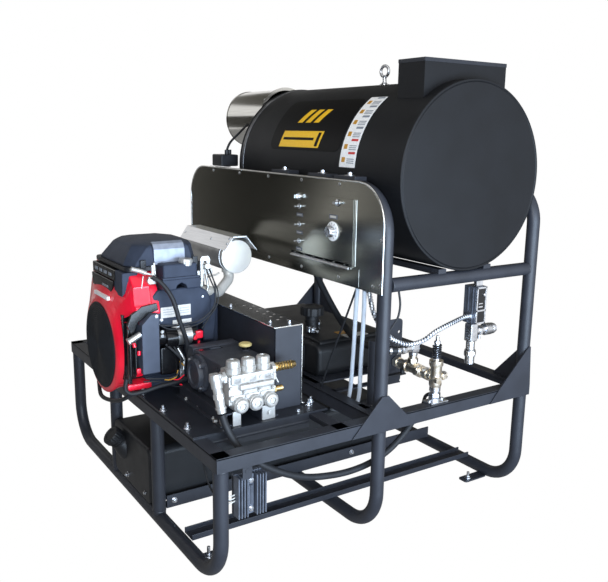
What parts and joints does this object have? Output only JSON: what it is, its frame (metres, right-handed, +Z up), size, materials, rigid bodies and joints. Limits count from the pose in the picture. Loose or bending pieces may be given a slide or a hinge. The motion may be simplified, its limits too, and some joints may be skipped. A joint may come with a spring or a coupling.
{
  "type": "hot-water pressure washer",
  "caption": "Skid-mounted hot-water pressure washer: tube frame, petrol V-twin, belt-driven plunger pump, drum coil heater with flue, control panel, tanks and hoses.",
  "frame": {"origin": "on the floor, under the middle of the machine's bounding box", "axes": "+X along the front of the deck towards the heater side, +Y from the front to the back, +Z up"},
  "size_m": [1.135, 1.155, 1.309],
  "materials": {
    "black_powder_coat": "satin textured powder coat",
    "black_paint": "satin paint",
    "black_plastic": "moulded plastic",
    "red_paint": "gloss paint",
    "black_poly": "rotomoulded polyethylene",
    "black_rubber": "matt",
    "clear_tube": "translucent flexible tube",
    "stainless_sheet": "bright annealed sheet",
    "zinc_plate": "bright zinc plating",
    "machined_steel": "machined",
    "cast_aluminium": "as cast",
    "grey_metal": "satin",
    "brass": "machined",
    "yellow_plastic": "moulded"
  },
  "bodies": {
    "frame": {"left_loop": "black_powder_coat", "middle_loop": "black_powder_coat", "right_loop": "black_powder_coat", "deck_frame": "black_powder_coat", "middle_hoop": "black_powder_coat", "right_hoop": "black_powder_coat", "drum_cradle": "black_powder_coat", "lower_rail": "black_powder_coat", "tank_rail_front": "black_powder_coat", "tank_rail_rear": "black_powder_coat", "engine_plate": "black_paint", "engine_block": "black_paint", "fan_shroud": "red_paint", "fan_grille": "black_plastic", "air_cleaner": "black_plastic", "muffler": "cast_aluminium", "heat_shield": "zinc_plate", "drive_belt": "black_rubber", "belt_guard": "black_paint", "guard_cover": "stainless_sheet", "pump_crankcase": "black_paint", "pump_side_cover": "black_paint", "pump_manifold": "cast_aluminium", "discharge_elbow": "zinc_plate", "pump_rail_left": "grey_metal", "pump_rail_right": "grey_metal", "drum_shell": "black_paint", "drum_front_cover": "black_paint", "flue_box": "black_paint", "lifting_eye": "zinc_plate", "heating_coil": "grey_metal", "burner_housing": "stainless_sheet", "control_panel": "stainless_sheet", "lower_tank": "black_poly", "rear_tank": "black_poly", "unloader_valve": "brass", "junction_box": "grey_metal", "flow_switch": "zinc_plate", "pressure_hose": "black_rubber", "supply_hose": "black_rubber", "wiring_conduit": "zinc_plate", "clear_hose_left": "clear_tube", "clear_hose_right": "clear_tube", "voltage_regulator": "grey_metal"},
    "crank": {"crankshaft": "machined_steel", "flywheel_fan": "cast_aluminium"},
    "pump_shaft": {"pump_pulley": "machined_steel"},
    "burner_rotor": {"burner_fan": "cast_aluminium"},
    "door": {"control_door": "stainless_sheet"},
    "upper_switch": {"switch_upper": "zinc_plate"},
    "middle_switch": {"switch_middle": "zinc_plate"},
    "lower_switch": {"switch_lower": "zinc_plate"},
    "dial": {"thermostat_dial": "zinc_plate"},
    "key": {"key_switch": "zinc_plate"},
    "latch": {"door_latch": "zinc_plate"},
    "lower_cap": {"lower_tank_cap": "black_poly"},
    "rear_cap": {"rear_tank_cap": "black_poly"},
    "pump_cap": {"pump_oil_cap": "yellow_plastic"},
    "engine_cap": {"oil_filler_cap": "zinc_plate"},
    "valve_lever": {"ball_valve_handle": "black_plastic"}
  },
  "joints": [
    {"name": "crank_spin", "type": "hinge", "parent": "frame", "child": "crank", "pos_m": [-0.35752, 0.0525, 0.487], "axis": [1, 0, 0], "continuous": true},
    {"name": "pump_spin", "type": "hinge", "parent": "frame", "child": "pump_shaft", "pos_m": [-0.23752, -0.2475, 0.455], "axis": [1, 0, 0], "continuous": true},
    {"name": "burner_fan_spin", "type": "hinge", "parent": "frame", "child": "burner_rotor", "pos_m": [0.20047, 0.4425, 1.149], "axis": [0, 1, 0], "continuous": true},
    {"name": "door_hinge", "type": "hinge", "parent": "frame", "child": "door", "pos_m": [-0.03803, -0.29, 0.744], "axis": [0, -1, 0], "range_deg": [0, 100]},
    {"name": "upper_switch_toggle", "type": "hinge", "parent": "door", "child": "upper_switch", "pos_m": [-0.04172, -0.1865, 0.891], "axis": [0, 1, 0], "range_deg": [-12, 12]},
    {"name": "middle_switch_toggle", "type": "hinge", "parent": "door", "child": "middle_switch", "pos_m": [-0.04172, -0.1865, 0.838], "axis": [0, 1, 0], "range_deg": [-12, 12]},
    {"name": "lower_switch_toggle", "type": "hinge", "parent": "door", "child": "lower_switch", "pos_m": [-0.04172, -0.1865, 0.789], "axis": [0, 1, 0], "range_deg": [-12, 12]},
    {"name": "dial_turn", "type": "hinge", "parent": "door", "child": "dial", "pos_m": [-0.03673, -0.3585, 0.837], "axis": [-1, 0, 0], "range_deg": [0, 270]},
    {"name": "key_turn", "type": "hinge", "parent": "door", "child": "key", "pos_m": [-0.03673, -0.1865, 0.92], "axis": [-1, 0, 0], "range_deg": [0, 90]},
    {"name": "latch_turn", "type": "hinge", "parent": "door", "child": "latch", "pos_m": [-0.03673, -0.3795, 0.917], "axis": [-1, 0, 0], "range_deg": [0, 90]},
    {"name": "lower_cap_turn", "type": "hinge", "parent": "frame", "child": "lower_cap", "pos_m": [-0.53174, 0.0705, 0.18321], "axis": [-0.7071, 0, 0.7071], "range_deg": [0, 90]},
    {"name": "rear_cap_turn", "type": "hinge", "parent": "frame", "child": "rear_cap", "pos_m": [0.09248, -0.0725, 0.53], "axis": [0, 0, 1], "range_deg": [0, 90]},
    {"name": "pump_cap_turn", "type": "hinge", "parent": "frame", "child": "pump_cap", "pos_m": [-0.26753, -0.2775, 0.515], "axis": [0, 0, 1], "range_deg": [0, 90]},
    {"name": "engine_cap_turn", "type": "hinge", "parent": "frame", "child": "engine_cap", "pos_m": [-0.37352, -0.1255, 0.72], "axis": [0, 0, 1], "range_deg": [0, 90]},
    {"name": "valve_lever_turn", "type": "hinge", "parent": "frame", "child": "valve_lever", "pos_m": [0.19748, -0.4055, 0.404], "axis": [0, 0, 1], "range_deg": [0, 90]}
  ],
  "couplings": [
    {"joint": "pump_spin", "follows": "crank_spin", "ratio": 0.61538}
  ]
}
